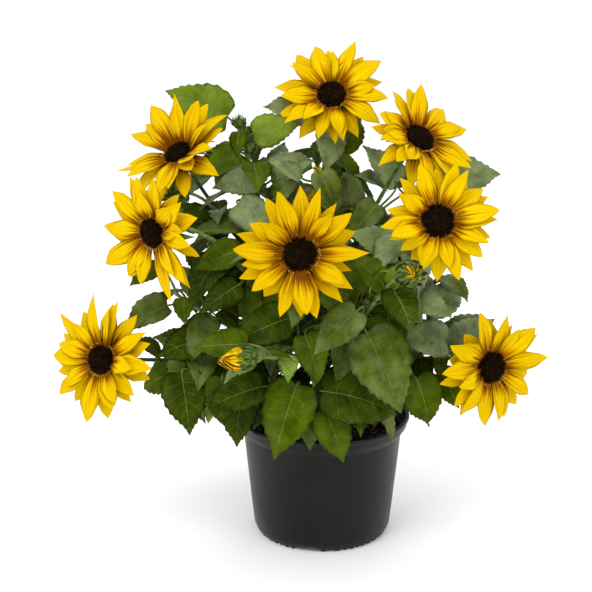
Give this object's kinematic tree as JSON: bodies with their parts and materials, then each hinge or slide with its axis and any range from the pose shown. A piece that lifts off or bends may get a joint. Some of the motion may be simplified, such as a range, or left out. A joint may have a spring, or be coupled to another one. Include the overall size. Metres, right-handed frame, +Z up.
{
  "type": "potted sunflower plant",
  "caption": "Bushy branching sunflower in a round black nursery pot, with open yellow blooms on side stems, buds and broad leaves all round.",
  "frame": {"origin": "centre of the pot's flat underside", "axes": "+Z up along the pot's axis, -Y towards the front of the plant, +X to its right seen from the front"},
  "size_m": [0.4625, 0.3442, 0.4796],
  "materials": {
    "pot": "soft sheen, moulded black plastic",
    "soil": "rough dark bark and peat mix",
    "stem": "green, finely hairy",
    "foliage": "matt green leaf, paler veins",
    "bloom": "bright yellow petals round a dark disc"
  },
  "bodies": {
    "root": {"bloom_back_left": "bloom", "bloom_back_right": "bloom", "bloom_back_top": "bloom", "bloom_centre": "bloom", "bloom_lower_left": "bloom", "bloom_lower_right": "bloom", "bloom_mid_left": "bloom", "bloom_right": "bloom", "bloom_top": "bloom", "bloom_upper_left": "bloom", "bloom_upper_right": "bloom", "foliage_back_left": "foliage", "foliage_back_right": "foliage", "foliage_back_top": "foliage", "foliage_centre": "foliage", "foliage_inner_front": "foliage", "foliage_inner_left": "foliage", "foliage_inner_right": "foliage", "foliage_inner_top_left": "foliage", "foliage_low_back": "foliage", "foliage_low_back_left": "foliage", "foliage_low_back_right": "foliage", "foliage_low_front_left": "foliage", "foliage_low_front_right": "foliage", "foliage_low_left": "foliage", "foliage_low_right": "foliage", "foliage_lower_left": "foliage", "foliage_lower_right": "foliage", "foliage_mid_left": "foliage", "foliage_right": "foliage", "foliage_side_back_left": "foliage", "foliage_side_back_right": "foliage", "foliage_side_left": "foliage", "foliage_side_right": "foliage", "foliage_top": "foliage", "foliage_upper_left": "foliage", "foliage_upper_right": "foliage", "main_stem": "stem", "pot": "pot", "soil": "soil", "stem_back_left": "stem", "stem_back_right": "stem", "stem_back_top": "stem", "stem_centre": "stem", "stem_lower_left": "stem", "stem_lower_right": "stem", "stem_mid_left": "stem", "stem_right": "stem", "stem_top": "stem", "stem_upper_left": "stem", "stem_upper_right": "stem"}
  },
  "joints": []
}
